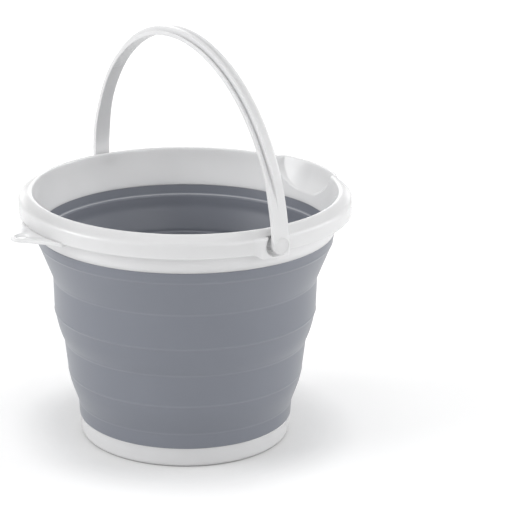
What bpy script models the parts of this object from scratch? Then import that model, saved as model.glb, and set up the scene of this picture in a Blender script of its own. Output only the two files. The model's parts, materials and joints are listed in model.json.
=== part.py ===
"""Collapsible camp bucket: a soft folding wall between a hard rim and base pan, with a bail handle.

The model is in metres with +Z up. Its origin is the centre of the base's underside. The handle turns
about a line along Y, the hanging ear points to -X and the pouring spout to +X.
"""

import math

import bmesh
import bpy
from mathutils import Matrix, Vector

# Heights of the wall's bands, from the floor up
BASE_H = 0.0197
CUFF_H = 0.0151
FOLD_3_H = 0.0314
RING_2_H = 0.0323
FOLD_2_H = 0.0295
RING_1_H = 0.0340
FOLD_1_H = 0.0356
SOFT_COLLAR_H = 0.0098
HARD_COLLAR_H = 0.0188
SKIRT_H = 0.0203

# Outer radius at the foot, and how far each band above it flares outward
BASE_FOOT_R = 0.1016
BASE_FLARE = 0.0026
CUFF_FLARE = 0.0010
FOLD_3_FLARE = 0.0094
RING_2_FLARE = 0.0038
FOLD_2_FLARE = 0.0087
RING_1_FLARE = 0.0010
FOLD_1_FLARE = 0.0140
SOFT_COLLAR_FLARE = 0.0019
HARD_COLLAR_FLARE = 0.0016
LIP_FLARE = 0.0034
SKIRT_FLARE = 0.0110

# Walls, measured level
BASE_WALL = 0.0030
RING_WALL = 0.0034
FOLD_WALL = 0.0022
COLLAR_WALL = 0.0042

# How far down each fold its slope changes, and how far in it has come by then
FOLD_1_BEND_SHARES = (0.50, 0.50)
FOLD_2_BEND_SHARES = (0.65, 0.49)
FOLD_3_BEND_SHARES = (0.26, 0.12)

# Rim
SKIRT_WALL = 0.0022
LIP_WALL = 0.0024
LIP_SHOULDER_H = 0.0070
LIP_INNER_W = 0.0020
LIP_INNER_H = 0.0040
COLLAR_WAIST_WALL = 0.0026
SEAM_SLOPE_H = 0.0017

# Spout, pushed outward into the collar
SPOUT_DEPTH = 0.0070
SPOUT_DIP = 0.0020
SPOUT_DROP = 0.0275
SPOUT_HALF_ANGLE = math.radians(21.3)
SPOUT_FULL_SHARE = 0.67

# Hanging ear
EAR_REACH = 0.0263
EAR_WALL = 0.0034
EAR_TIP_R = 0.0102
EAR_HOLE_R = 0.0062
EAR_HALF_ANGLE = math.radians(14.5)
EAR_SIDE_SAG = 0.0015
EAR_LAP = 0.0006

# Pads at the pivots, each with a recess around the hub that carries the strap
PIVOT_DROP = 0.0125
PAD_REACH = 0.0024
PAD_SINK = 0.0030
PAD_FACE_W = 0.0280
PAD_FOOT_W = 0.0480
PAD_FACE_DROP = 0.0114
PAD_FOOT_DROP = 0.0118
PAD_FACE_RISE = 0.0065
PAD_FOOT_RISE = 0.0095
PAD_LOW_CORNER_R = 0.0080
PAD_TOP_CORNER_R = 0.0030
RECESS_W = 0.0232
RECESS_DROP = 0.0100
RECESS_DEPTH = 0.0020
HUB_R = 0.0070
HUB_REACH = 0.0030

# Rivets
RIVET_R = 0.0034
RIVET_HEAD_R = 0.0067
RIVET_HEAD_H = 0.0016
RIVET_BARB_R = 0.0052
RIVET_BARB_H = 0.0015

# Handle
STRAP_WALL = 0.0050
STRAP_W = 0.0162
ARCH_W = 0.0138
ARCH_WALL = 0.0080
ARCH_EDGE_WALL = 0.0034
LEDGE_W = 0.0045
RIDGE_W = 0.0018
CHANNEL_DEPTH = 0.0010
FAR_RIB_W = 0.0028
FLANK_W = 0.0004
RIB_START_ANGLE = math.radians(79)
RIB_FULL_ANGLE = math.radians(66)
END_CLOSE_ANGLE = math.radians(78)
HANDLE_LEAN = math.radians(2.2)

# Base pan
FLOOR_WALL = 0.0026
FLOOR_STEP_H = 0.0016
FLOOR_STEP_W = 0.0070
FOOT_ROUND = 0.0030
GRIP_INSET = 0.0176
GRIP_W = 0.0240
GRIP_H = 0.0130
GRIP_WALL = 0.0024
GRIP_SLOPE_W = 0.0035
GRIP_HALF_ANGLE = math.radians(37)

# Clearances
SEAT_GAP = 0.0003
RIVET_GAP = 0.0003
SWING_GAP = 0.0004
RIM_SWING_GAP = 0.0006
OVERRUN = 0.0020
MERGE_GAP = SEAT_GAP / 10

# Counts
AROUND = 72
LIP_STEPS = 6
FOOT_STEPS = 3
ARCH_STEPS = 44
END_STEPS = 5
HOLE_SIDES = 24
CORNER_STEPS = 3
EAR_SIDE_STEPS = 4
GRIP_STEPS = 16

# Radii worked out from the flares
BASE_TOP_R = BASE_FOOT_R + BASE_FLARE
CUFF_TOP_R = BASE_TOP_R + CUFF_FLARE
RING_2_LOW_R = CUFF_TOP_R + FOLD_3_FLARE
RING_2_TOP_R = RING_2_LOW_R + RING_2_FLARE
RING_1_LOW_R = RING_2_TOP_R + FOLD_2_FLARE
RING_1_TOP_R = RING_1_LOW_R + RING_1_FLARE
SOFT_COLLAR_LOW_R = RING_1_TOP_R + FOLD_1_FLARE
COLLAR_R = SOFT_COLLAR_LOW_R + SOFT_COLLAR_FLARE
COLLAR_WAIST_R = COLLAR_R + HARD_COLLAR_FLARE
LIP_CREST_R = COLLAR_WAIST_R + LIP_FLARE
SKIRT_R = LIP_CREST_R + SKIRT_FLARE
GRIP_OUTER_R = BASE_FOOT_R - GRIP_INSET
GRIP_INNER_R = GRIP_OUTER_R - GRIP_W

# Levels worked out from the bands
CUFF_TOP_Z = BASE_H + CUFF_H
RING_2_LOW_Z = CUFF_TOP_Z + FOLD_3_H
RING_2_TOP_Z = RING_2_LOW_Z + RING_2_H
RING_1_LOW_Z = RING_2_TOP_Z + FOLD_2_H
RING_1_TOP_Z = RING_1_LOW_Z + RING_1_H
SOFT_COLLAR_LOW_Z = RING_1_TOP_Z + FOLD_1_H
HARD_COLLAR_LOW_Z = SOFT_COLLAR_LOW_Z + SOFT_COLLAR_H
SKIRT_LOW_Z = HARD_COLLAR_LOW_Z + HARD_COLLAR_H
LIP_Z = SKIRT_LOW_Z + SKIRT_H
PIVOT_Z = LIP_Z - PIVOT_DROP
PAD_FOOT_Y = SKIRT_R - PAD_SINK
PAD_FACE_Y = SKIRT_R + PAD_REACH
HUB_FACE_Y = SKIRT_R + HUB_REACH
STRAP_FACE_Y = HUB_FACE_Y + SWING_GAP
EAR_HOLE_X = -(SKIRT_R + EAR_REACH - EAR_TIP_R)
SIDES = ((-1, "front"), (1, "back"))

WHITE = (0.84, 0.84, 0.85)
GREY = (0.20, 0.215, 0.25)


def clear_scene():
    """Remove every object that the opened file holds."""
    for thing in list(bpy.data.objects):
        bpy.data.objects.remove(thing, do_unlink=True)


def principled(name, colour, roughness):
    """Make a plastic material."""
    material = bpy.data.materials.new(name)
    material.use_nodes = True
    shader = material.node_tree.nodes["Principled BSDF"]
    shader.inputs["Base Color"].default_value = (*colour, 1.0)
    shader.inputs["Roughness"].default_value = roughness
    shader.inputs["Metallic"].default_value = 0.0
    return material


def finish(name, shape, colour, roughness, smooth_angle=35):
    """Turn a bmesh into a named object with its own material."""
    bmesh.ops.recalc_face_normals(shape, faces=shape.faces)
    mesh = bpy.data.meshes.new(name)
    shape.to_mesh(mesh)
    shape.free()
    mesh.shade_smooth()
    mesh.set_sharp_from_angle(angle=math.radians(smooth_angle))
    mesh.materials.append(principled(f"{name}_plastic", colour, roughness))
    thing = bpy.data.objects.new(name, mesh)
    bpy.context.collection.objects.link(thing)
    return thing


def guide(name, shape):
    """Turn a bmesh into a hidden cutter or an addition for a Boolean."""
    thing = finish(name, shape, GREY, 0.5)
    thing.hide_render = True
    thing.display_type = "WIRE"
    return thing


def boolean(target, tool, operation):
    """Join a tool to a target, or cut it away."""
    change = target.modifiers.new(f"{operation}_{tool.name}".lower(), "BOOLEAN")
    change.operation = operation
    change.solver = "EXACT"
    change.object = tool


def turned(points):
    """Spin a closed outline of (radius, height) points all the way around Z."""
    shape = bmesh.new()
    corners = [shape.verts.new((radius, 0, height)) for radius, height in points]
    edges = [shape.edges.new(pair) for pair in zip(corners, corners[1:] + corners[:1])]
    bmesh.ops.spin(
        shape, geom=corners + edges, axis=(0, 0, 1), angle=math.tau, steps=AROUND, use_merge=True
    )
    return shape


def turned_from_axis(points, steps):
    """Spin an open outline of (radius, height) points that starts and ends on Z."""
    shape = bmesh.new()
    corners = [shape.verts.new((radius, 0, height)) for radius, height in points]
    edges = [shape.edges.new(pair) for pair in zip(corners, corners[1:])]
    bmesh.ops.spin(
        shape, geom=corners + edges, axis=(0, 0, 1), angle=math.tau, steps=steps, use_merge=True
    )
    bmesh.ops.remove_doubles(shape, verts=shape.verts, dist=MERGE_GAP)
    return shape


def turned_part_way(points, start, sweep, steps):
    """Spin a closed outline around Z from one angle through a sweep, with flat ends."""
    shape = bmesh.new()
    corners = [
        Matrix.Rotation(start, 3, "Z") @ Vector((radius, 0, height)) for radius, height in points
    ]
    rings = [
        [shape.verts.new(Matrix.Rotation(sweep * step / steps, 3, "Z") @ corner) for corner in corners]
        for step in range(steps + 1)
    ]
    skin(shape, rings)
    return shape


def prism(outline, low, high):
    """Raise a flat outline of (x, y) points from one level to another."""
    shape = bmesh.new()
    floor = shape.faces.new([shape.verts.new((x, y, low)) for x, y in outline])
    raised = bmesh.ops.extrude_face_region(shape, geom=[floor])
    tops = [item for item in raised["geom"] if isinstance(item, bmesh.types.BMVert)]
    bmesh.ops.translate(shape, verts=tops, vec=(0, 0, high - low))
    return shape


def side_rod(side, near_y, far_y, radius):
    """Make a round rod through one pivot, between two distances from the middle."""
    shape = bmesh.new()
    place = Matrix.Translation((0, side * (near_y + far_y) / 2, PIVOT_Z))
    bmesh.ops.create_cone(
        shape,
        cap_ends=True,
        segments=HOLE_SIDES,
        radius1=radius,
        radius2=radius,
        depth=far_y - near_y,
        matrix=place @ Matrix.Rotation(math.pi / 2, 4, "X"),
    )
    return shape


def side_loft(side, near_y, near_outline, far_y, far_outline):
    """Join two upright outlines of (across, up) points about one pivot into a solid."""
    shape = bmesh.new()
    near, far = (
        [shape.verts.new((across, side * y, PIVOT_Z + up)) for across, up in outline]
        for y, outline in ((near_y, near_outline), (far_y, far_outline))
    )
    skin(shape, [near, far])
    return shape


def skin(shape, rings):
    """Cover a row of equal rings of corners, with a flat cap at each end."""
    for near, far in zip(rings, rings[1:]):
        for index in range(len(near)):
            after = (index + 1) % len(near)
            shape.faces.new((near[index], near[after], far[after], far[index]))
    shape.faces.new(rings[0])
    shape.faces.new(reversed(rings[-1]))


def rounded_outline(width, drop, rise, low_r, top_r):
    """Outline of a box with round corners, as (across, up) points about a pivot."""
    half = width / 2
    corners = (
        (half - low_r, low_r - drop, low_r, -math.pi / 2),
        (half - top_r, rise - top_r, top_r, 0),
        (top_r - half, rise - top_r, top_r, math.pi / 2),
        (low_r - half, low_r - drop, low_r, math.pi),
    )
    points = []
    for across, up, radius, start in corners:
        points += quarter_arc((across, up), radius, radius, start, start + math.pi / 2, CORNER_STEPS)
    return points


def quarter_arc(centre, half_width, half_height, start, end, steps):
    """Points of an ellipse's arc about a centre, both ends included."""
    return [
        (
            centre[0] + half_width * math.cos(start + (end - start) * step / steps),
            centre[1] + half_height * math.sin(start + (end - start) * step / steps),
        )
        for step in range(steps + 1)
    ]


def mix(start, end, share):
    """Blend two values."""
    return start + (end - start) * share


def band(name, low, high, wall, bend_shares=None):
    """Make one level band of the soft wall between two (outer radius, height) edges."""
    low_z, high_z = low[1] + SEAT_GAP / 2, high[1] - SEAT_GAP / 2
    outer = [(low[0], low_z), (high[0], high_z)]
    if bend_shares:
        down, inward = bend_shares
        outer.insert(1, (mix(high[0], low[0], inward), mix(high_z, low_z, down)))
    inner = [(radius - wall, height) for radius, height in reversed(outer)]
    return finish(name, turned(outer + inner), GREY, 0.45)


def make_soft_wall():
    """Make the seven bands of the folding wall, from the cuff up to the soft collar."""
    base = (BASE_TOP_R, BASE_H)
    cuff = (CUFF_TOP_R, CUFF_TOP_Z)
    ring_2_low = (RING_2_LOW_R, RING_2_LOW_Z)
    ring_2_top = (RING_2_TOP_R, RING_2_TOP_Z)
    ring_1_low = (RING_1_LOW_R, RING_1_LOW_Z)
    ring_1_top = (RING_1_TOP_R, RING_1_TOP_Z)
    collar_low = (SOFT_COLLAR_LOW_R, SOFT_COLLAR_LOW_Z)
    band("cuff", base, cuff, RING_WALL)
    band("fold_3", cuff, ring_2_low, FOLD_WALL, FOLD_3_BEND_SHARES)
    band("ring_2", ring_2_low, ring_2_top, RING_WALL)
    band("fold_2", ring_2_top, ring_1_low, FOLD_WALL, FOLD_2_BEND_SHARES)
    band("ring_1", ring_1_low, ring_1_top, RING_WALL)
    band("fold_1", ring_1_top, collar_low, FOLD_WALL, FOLD_1_BEND_SHARES)
    make_soft_collar()


def make_soft_collar():
    """Make the soft band under the rim, whose top follows the rim's sloping seam."""
    low_z = SOFT_COLLAR_LOW_Z + SEAT_GAP / 2
    top_z = HARD_COLLAR_LOW_Z - SEAT_GAP / 2
    outline = [
        (SOFT_COLLAR_LOW_R, low_z),
        (COLLAR_R, top_z),
        (COLLAR_R - COLLAR_WALL, top_z + SEAM_SLOPE_H),
        (SOFT_COLLAR_LOW_R - COLLAR_WALL, low_z),
    ]
    finish("wall_collar", turned(outline), GREY, 0.45)


def rim_outline():
    """Outline of the rim's section: inner wall, lip, skirt and the space behind the skirt."""
    seam_z = HARD_COLLAR_LOW_Z + SEAT_GAP / 2
    skirt_inner_r = SKIRT_R - SKIRT_WALL
    lip_inner_r = LIP_CREST_R - LIP_INNER_W
    collar_top_r = lip_inner_r + LIP_WALL
    shoulder_z = LIP_Z - LIP_SHOULDER_H
    inner_lip = quarter_arc(
        (LIP_CREST_R, LIP_Z - LIP_INNER_H),
        LIP_INNER_W,
        LIP_INNER_H,
        math.pi,
        math.pi / 2,
        LIP_STEPS // 2,
    )
    outer_lip = quarter_arc(
        (LIP_CREST_R, shoulder_z), SKIRT_R - LIP_CREST_R, LIP_SHOULDER_H, math.pi / 2, 0, LIP_STEPS
    )
    under_lip = quarter_arc(
        (collar_top_r, shoulder_z),
        skirt_inner_r - collar_top_r,
        LIP_SHOULDER_H - LIP_WALL,
        0,
        math.pi / 2,
        LIP_STEPS // 2,
    )
    return (
        [
            (COLLAR_R - COLLAR_WALL, seam_z + SEAM_SLOPE_H),
            (COLLAR_WAIST_R - COLLAR_WAIST_WALL, SKIRT_LOW_Z),
        ]
        + inner_lip
        + outer_lip[1:]
        + [(SKIRT_R, SKIRT_LOW_Z), (skirt_inner_r, SKIRT_LOW_Z)]
        + under_lip
        + [(COLLAR_WAIST_R, SKIRT_LOW_Z), (COLLAR_R, seam_z)]
    )


def push_spout(shape):
    """Push the collar outward in a rounded V on the +X side, up to the skirt, which stays round."""
    skirt_inner_r = SKIRT_R - SKIRT_WALL
    wall_r = LIP_CREST_R - LIP_INNER_W + LIP_WALL
    apex_z = LIP_Z - SPOUT_DROP
    for corner in shape.verts:
        angle = abs(math.atan2(corner.co.y, corner.co.x))
        radius = math.hypot(corner.co.x, corner.co.y)
        height_share = (corner.co.z - apex_z) / SPOUT_DROP
        half_angle = SPOUT_HALF_ANGLE * math.sqrt(1 - (1 - max(height_share, 0)) ** 2)
        if half_angle == 0 or angle >= half_angle or radius >= skirt_inner_r:
            continue
        across_share = 1 - angle / half_angle
        squeeze_share = min((skirt_inner_r - radius) / (skirt_inner_r - wall_r), 1)
        depth_share = across_share * squeeze_share * min(height_share / SPOUT_FULL_SHARE, 1)
        grown = radius + SPOUT_DEPTH * depth_share
        top_share = max(1 - (LIP_Z - corner.co.z) / LIP_SHOULDER_H, 0)
        corner.co.x *= grown / radius
        corner.co.y *= grown / radius
        corner.co.z -= SPOUT_DIP * across_share * top_share * squeeze_share


def ear_outline():
    """Outline of the hanging ear seen from above: a wide root, hollow sides and a round tip."""
    root_r = COLLAR_WAIST_R - COLLAR_WAIST_WALL / 2
    skirt_corner = Vector((-SKIRT_R * math.cos(EAR_HALF_ANGLE), SKIRT_R * math.sin(EAR_HALF_ANGLE)))
    to_tip = Vector((EAR_HOLE_X, 0)) - skirt_corner
    turn_in = math.asin(EAR_TIP_R / to_tip.length) + math.pi / 2
    tangent_angle = math.tau + math.atan2(to_tip.y, to_tip.x) - turn_in
    end_angle = math.tau - tangent_angle
    tip = quarter_arc((EAR_HOLE_X, 0), EAR_TIP_R, EAR_TIP_R, tangent_angle, end_angle, LIP_STEPS * 2)
    along = Vector(tip[0]) - skirt_corner
    inward = Vector((along.y, -along.x)).normalized()
    side = []
    for share in [step / EAR_SIDE_STEPS for step in range(EAR_SIDE_STEPS)]:
        sag = EAR_SIDE_SAG * (1 - (2 * share - 1) ** 2)
        side.append(tuple(skirt_corner + along * share - inward * sag))
    root = [
        (-root_r * math.cos(angle), root_r * math.sin(angle))
        for angle in [EAR_HALF_ANGLE * step / LIP_STEPS for step in range(-LIP_STEPS, LIP_STEPS + 1)]
    ]
    return root + side + tip + [(x, -y) for x, y in reversed(side)]


def add_ear(rim):
    """Join the hanging ear to the rim at the skirt's lower edge, and drill its hole."""
    top_z = SKIRT_LOW_Z + EAR_LAP
    low_z = top_z - EAR_WALL
    boolean(rim, guide("ear_form", prism(ear_outline(), low_z, top_z)), "UNION")
    hole = [
        (EAR_HOLE_X + EAR_HOLE_R * math.cos(angle), EAR_HOLE_R * math.sin(angle))
        for angle in [math.tau * step / HOLE_SIDES for step in range(HOLE_SIDES)]
    ]
    boolean(rim, guide("ear_hole", prism(hole, low_z - OVERRUN, top_z + OVERRUN)), "DIFFERENCE")


def add_pad(rim, side, label):
    """Swell the skirt at one pivot, sink the recess and leave a drilled hub for the strap."""
    foot = rounded_outline(
        PAD_FOOT_W, PAD_FOOT_DROP, PAD_FOOT_RISE, PAD_LOW_CORNER_R, PAD_TOP_CORNER_R
    )
    face = rounded_outline(
        PAD_FACE_W, PAD_FACE_DROP, PAD_FACE_RISE, PAD_LOW_CORNER_R, PAD_TOP_CORNER_R
    )
    recess = rounded_outline(
        RECESS_W, RECESS_DROP, PAD_FOOT_RISE + OVERRUN, PAD_LOW_CORNER_R, PAD_TOP_CORNER_R
    )
    pad = side_loft(side, PAD_FOOT_Y, foot, PAD_FACE_Y, face)
    hollow = side_loft(side, PAD_FACE_Y - RECESS_DEPTH, recess, PAD_FACE_Y + OVERRUN, recess)
    hub = side_rod(side, PAD_FOOT_Y + SEAT_GAP, HUB_FACE_Y, HUB_R)
    bore = side_rod(side, PAD_FOOT_Y - OVERRUN, HUB_FACE_Y + OVERRUN, RIVET_R + RIVET_GAP)
    boolean(rim, guide(f"pad_form_{label}", pad), "UNION")
    boolean(rim, guide(f"pad_recess_{label}", hollow), "DIFFERENCE")
    boolean(rim, guide(f"pad_hub_{label}", hub), "UNION")
    boolean(rim, guide(f"pad_bore_{label}", bore), "DIFFERENCE")


def make_rim():
    """Make the rim moulding with its spout, ear, pads and rivet holes."""
    shape = turned(rim_outline())
    push_spout(shape)
    rim = finish("rim_frame", shape, WHITE, 0.3)
    add_ear(rim)
    for side, label in SIDES:
        add_pad(rim, side, label)


def strap_section(width, rib_share):
    """Section of the handle as (across, outward) points: flat near its ends, ribbed between."""
    half = ARCH_W / 2
    ledge = -half + LEDGE_W
    ridge_end = ledge + FLANK_W + RIDGE_W
    rib_start = half - FAR_RIB_W
    full = [
        (-half, 0),
        (-half, ARCH_EDGE_WALL),
        (ledge, ARCH_EDGE_WALL),
        (ledge + FLANK_W, ARCH_WALL),
        (ridge_end, ARCH_WALL),
        (ridge_end + FLANK_W, ARCH_WALL - CHANNEL_DEPTH),
        (rib_start - FLANK_W, ARCH_WALL - CHANNEL_DEPTH),
        (rib_start, ARCH_WALL),
        (half, ARCH_WALL - CHANNEL_DEPTH / 2),
        (half, 0),
    ]
    return [
        (across * width / ARCH_W, mix(STRAP_WALL if outward else 0, outward, rib_share))
        for across, outward in full
    ]


def smooth_share(share):
    """Ease a share between 0 and 1."""
    share = min(max(share, 0), 1)
    return share * share * (3 - 2 * share)


def make_handle():
    """Sweep the strap over the bucket, from one rounded end to the other, leaning to the ear's side."""
    rise = SKIRT_R + RIM_SWING_GAP
    end_r = STRAP_W / 2
    stations = []
    for step in range(END_STEPS, 0, -1):
        angle = END_CLOSE_ANGLE * step / END_STEPS
        stations.append((math.pi / 2, end_r * math.sin(angle), STRAP_W * math.cos(angle), 0.0))
    for step in range(ARCH_STEPS + 1):
        angle = math.pi / 2 - math.pi * step / ARCH_STEPS
        rib_share = smooth_share((RIB_START_ANGLE - abs(angle)) / (RIB_START_ANGLE - RIB_FULL_ANGLE))
        stations.append((angle, 0.0, mix(STRAP_W, ARCH_W, rib_share), rib_share))
    for angle, below, width, rib_share in reversed(stations[:END_STEPS]):
        stations.append((-angle, below, width, rib_share))

    shape = bmesh.new()
    rings = []
    for angle, below, width, rib_share in stations:
        foot = Vector((0, -STRAP_FACE_Y * math.sin(angle), PIVOT_Z + rise * math.cos(angle) - below))
        outward = Vector((0, -math.sin(angle) / STRAP_FACE_Y, math.cos(angle) / rise)).normalized()
        rings.append(
            [
                shape.verts.new(foot + Vector((across, 0, 0)) + outward * out)
                for across, out in strap_section(width, rib_share)
            ]
        )
    skin(shape, rings)
    bmesh.ops.translate(shape, verts=shape.verts, vec=(0, 0, -PIVOT_Z))
    handle = finish("handle", shape, WHITE, 0.35)
    handle.location.z = PIVOT_Z

    outer_y = STRAP_FACE_Y + STRAP_WALL
    for side, label in SIDES:
        bore = side_rod(side, STRAP_FACE_Y - OVERRUN, outer_y + OVERRUN, RIVET_R + RIVET_GAP)
        sink = side_rod(side, outer_y - RIVET_HEAD_H, outer_y + OVERRUN, RIVET_HEAD_R + RIVET_GAP)
        boolean(handle, guide(f"strap_bore_{label}", bore), "DIFFERENCE")
        boolean(handle, guide(f"strap_sink_{label}", sink), "DIFFERENCE")
    handle.data.transform(Matrix.Rotation(-HANDLE_LEAN, 4, "Y"))


def make_rivet(side, label):
    """Turn one rivet: a flush head, a shank through strap and pad, and a barb behind the skirt."""
    head_y = STRAP_FACE_Y + STRAP_WALL
    neck_y = head_y - RIVET_HEAD_H + SEAT_GAP
    barb_y = PAD_FOOT_Y - SEAT_GAP
    outline = [
        (0, head_y),
        (RIVET_HEAD_R, head_y),
        (RIVET_HEAD_R, neck_y),
        (RIVET_R, neck_y),
        (RIVET_R, barb_y),
        (RIVET_BARB_R, barb_y),
        (RIVET_R, barb_y - RIVET_BARB_H),
        (0, barb_y - RIVET_BARB_H),
    ]
    shape = turned_from_axis(outline, HOLE_SIDES)
    turn = Matrix.Rotation(-side * math.pi / 2, 3, "X")
    bmesh.ops.rotate(shape, verts=shape.verts, matrix=turn)
    rivet = finish(f"pivot_rivet_{label}", shape, WHITE, 0.3)
    rivet.location.z = PIVOT_Z


def make_base():
    """Make the base pan with its stepped floor and the hollow finger grip under it."""
    inner_top_r = BASE_TOP_R - BASE_WALL
    inner_foot_r = BASE_FOOT_R - BASE_WALL
    step_r = inner_foot_r - FLOOR_STEP_W
    step_z = FLOOR_WALL + FLOOR_STEP_H
    foot = quarter_arc(
        (BASE_FOOT_R - FOOT_ROUND, FOOT_ROUND), FOOT_ROUND, FOOT_ROUND, -math.pi / 2, 0, FOOT_STEPS
    )
    top_z = BASE_H - SEAT_GAP / 2
    outline = (
        [(0, 0)]
        + foot
        + [(BASE_TOP_R, top_z), (inner_top_r, top_z)]
        + [(inner_foot_r, step_z + FOOT_ROUND), (inner_foot_r - FOOT_ROUND, step_z)]
        + [(step_r, step_z), (step_r - FLOOR_STEP_H, FLOOR_WALL), (0, FLOOR_WALL)]
    )
    base = finish("base", turned_from_axis(outline, AROUND), WHITE, 0.3)

    ridge = [
        (GRIP_INNER_R, FLOOR_WALL / 2),
        (GRIP_OUTER_R, FLOOR_WALL / 2),
        (GRIP_OUTER_R - GRIP_SLOPE_W, GRIP_H),
        (GRIP_INNER_R + GRIP_SLOPE_W, GRIP_H),
    ]
    form = turned_part_way(ridge, math.pi - GRIP_HALF_ANGLE, 2 * GRIP_HALF_ANGLE, GRIP_STEPS)
    boolean(base, guide("grip_form", form), "UNION")
    end_angle = GRIP_WALL / GRIP_OUTER_R
    hollow = [
        (GRIP_INNER_R + GRIP_WALL, -OVERRUN),
        (GRIP_OUTER_R - GRIP_WALL, -OVERRUN),
        (GRIP_OUTER_R - GRIP_WALL, 0),
        (GRIP_OUTER_R - GRIP_SLOPE_W - GRIP_WALL / 2, GRIP_H - GRIP_WALL),
        (GRIP_INNER_R + GRIP_SLOPE_W + GRIP_WALL / 2, GRIP_H - GRIP_WALL),
        (GRIP_INNER_R + GRIP_WALL, 0),
    ]
    inner_half = GRIP_HALF_ANGLE - end_angle
    pocket = turned_part_way(hollow, math.pi - inner_half, 2 * inner_half, GRIP_STEPS)
    boolean(base, guide("grip_hollow", pocket), "DIFFERENCE")


def main():
    """Build the whole bucket."""
    clear_scene()
    make_base()
    make_soft_wall()
    make_rim()
    make_handle()
    for side, label in SIDES:
        make_rivet(side, label)


main()
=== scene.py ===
"""Collapsible camp bucket: the finished look of every piece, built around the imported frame.

All lengths are metres in the part's own frame: +Z up, the ground at zero, the handle's pivots on
a line along Y, the hanging ear towards -X and the pouring spout towards +X. Only the camera's lens
and sensor are in millimetres.
"""

from __future__ import annotations

import json
import logging
import math
from collections.abc import Iterable, Sequence
from dataclasses import dataclass
from enum import Enum

import bmesh
import bpy
from mathutils import Matrix, Vector


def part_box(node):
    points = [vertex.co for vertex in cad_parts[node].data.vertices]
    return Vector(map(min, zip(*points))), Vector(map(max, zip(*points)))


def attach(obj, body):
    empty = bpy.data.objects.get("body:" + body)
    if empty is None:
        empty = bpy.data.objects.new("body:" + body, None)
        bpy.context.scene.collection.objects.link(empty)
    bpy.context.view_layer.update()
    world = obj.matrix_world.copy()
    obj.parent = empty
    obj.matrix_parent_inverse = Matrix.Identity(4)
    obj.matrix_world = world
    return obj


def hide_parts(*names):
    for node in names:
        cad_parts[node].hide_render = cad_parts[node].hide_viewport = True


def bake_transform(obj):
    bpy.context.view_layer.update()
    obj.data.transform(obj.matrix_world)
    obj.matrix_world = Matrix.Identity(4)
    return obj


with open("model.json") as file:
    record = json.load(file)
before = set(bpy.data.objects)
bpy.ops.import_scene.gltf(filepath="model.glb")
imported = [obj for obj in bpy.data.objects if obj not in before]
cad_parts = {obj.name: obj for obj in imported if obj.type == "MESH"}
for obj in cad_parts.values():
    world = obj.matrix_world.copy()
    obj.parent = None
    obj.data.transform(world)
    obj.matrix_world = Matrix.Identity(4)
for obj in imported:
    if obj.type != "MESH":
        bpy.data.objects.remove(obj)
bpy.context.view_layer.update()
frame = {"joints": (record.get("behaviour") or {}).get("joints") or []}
SEAM_GAP = 0.0003
MERGE_GAP = 0.00001
STRIP_STEPS = 12
EASE_SAMPLES = 8
CORNER_STEPS = 4
FINE_CORNER_STEPS = 5
SMOOTH_DEGREES = 38
NOISE_MEAN = 0.5
BLACK = (0.0, 0.0, 0.0)
WHITE = (1.0, 1.0, 1.0)

log = logging.getLogger("bucket")

Point = tuple[float, float]
Colour = tuple[float, float, float]


class Body(Enum):
    """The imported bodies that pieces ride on."""

    BASE = "base"
    LOWER_RING = "lower_ring"
    UPPER_RING = "upper_ring"
    RIM = "rim"
    HANDLE = "handle"


class Side(Enum):
    """The two ends of the handle's pivot line, as directions along Y."""

    FRONT = -1
    BACK = 1


def mix(start: float, end: float, share: float) -> float:
    """Blend two values by a share of the second."""
    return start + (end - start) * share


def eased(share: float) -> float:
    """Ease a share between 0 and 1, flat at both ends."""
    share = min(max(share, 0.0), 1.0)
    return share * share * (3 - 2 * share)


def eased_between(value: float, start: float, end: float) -> float:
    """Ease from 0 to 1 as a value goes from start to end."""
    return eased((value - start) / (end - start))


def bell(distance: float, width: float) -> float:
    """Nearness: 1 at no distance, falling to 0 well past the width."""
    return math.exp(-((distance / width) ** 2))


def from_axis(place: Vector) -> float:
    """Distance of a place from the Z axis."""
    return math.hypot(place.x, place.y)


def only(geom: Iterable, kind: type) -> list:
    """Keep one kind of element out of what an operator gives back."""
    return [item for item in geom if isinstance(item, kind)]


def spread(start: float, end: float, steps: int) -> list[float]:
    """Give evenly spaced values from start to end, both included."""
    return [mix(start, end, step / steps) for step in range(steps + 1)]


@dataclass(frozen=True)
class Corner:
    """A corner of a section: its place, and how far along its sides the rounding starts."""

    across: float
    up: float
    cut: float = 0.0


def soften(corners: Sequence[Corner], steps: int = CORNER_STEPS) -> list[Point]:
    """Round the corners of a closed section.

    Args:
        corners: the section's corners in order.
        steps: how many pieces each rounding has.

    Returns:
        The points of the rounded section, always the same number for the same corners.
    """
    points: list[Point] = []
    for index, corner in enumerate(corners):
        here = Vector((corner.across, corner.up))
        if not corner.cut:
            points.append((here.x, here.y))
            continue
        ends = []
        for neighbour in (corners[index - 1], corners[(index + 1) % len(corners)]):
            away = Vector((neighbour.across, neighbour.up)) - here
            ends.append(here + away.normalized() * min(corner.cut, away.length / 2))
        for share in spread(0, 1, steps):
            place = ends[0].lerp(here, share).lerp(here.lerp(ends[1], share), share)
            points.append((place.x, place.y))
    return points


def densify(points: Sequence[Point], longest: float) -> list[Point]:
    """Split the long sides of a closed section.

    Args:
        points: the section.
        longest: the greatest length that a side keeps.

    Returns:
        The section with more points.
    """
    dense: list[Point] = []
    for here, after in zip(points, list(points[1:]) + [points[0]]):
        length = math.dist(here, after)
        pieces = max(math.ceil(length / longest), 1)
        for step in range(pieces):
            share = step / pieces
            dense.append((mix(here[0], after[0], share), mix(here[1], after[1], share)))
    return dense


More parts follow.
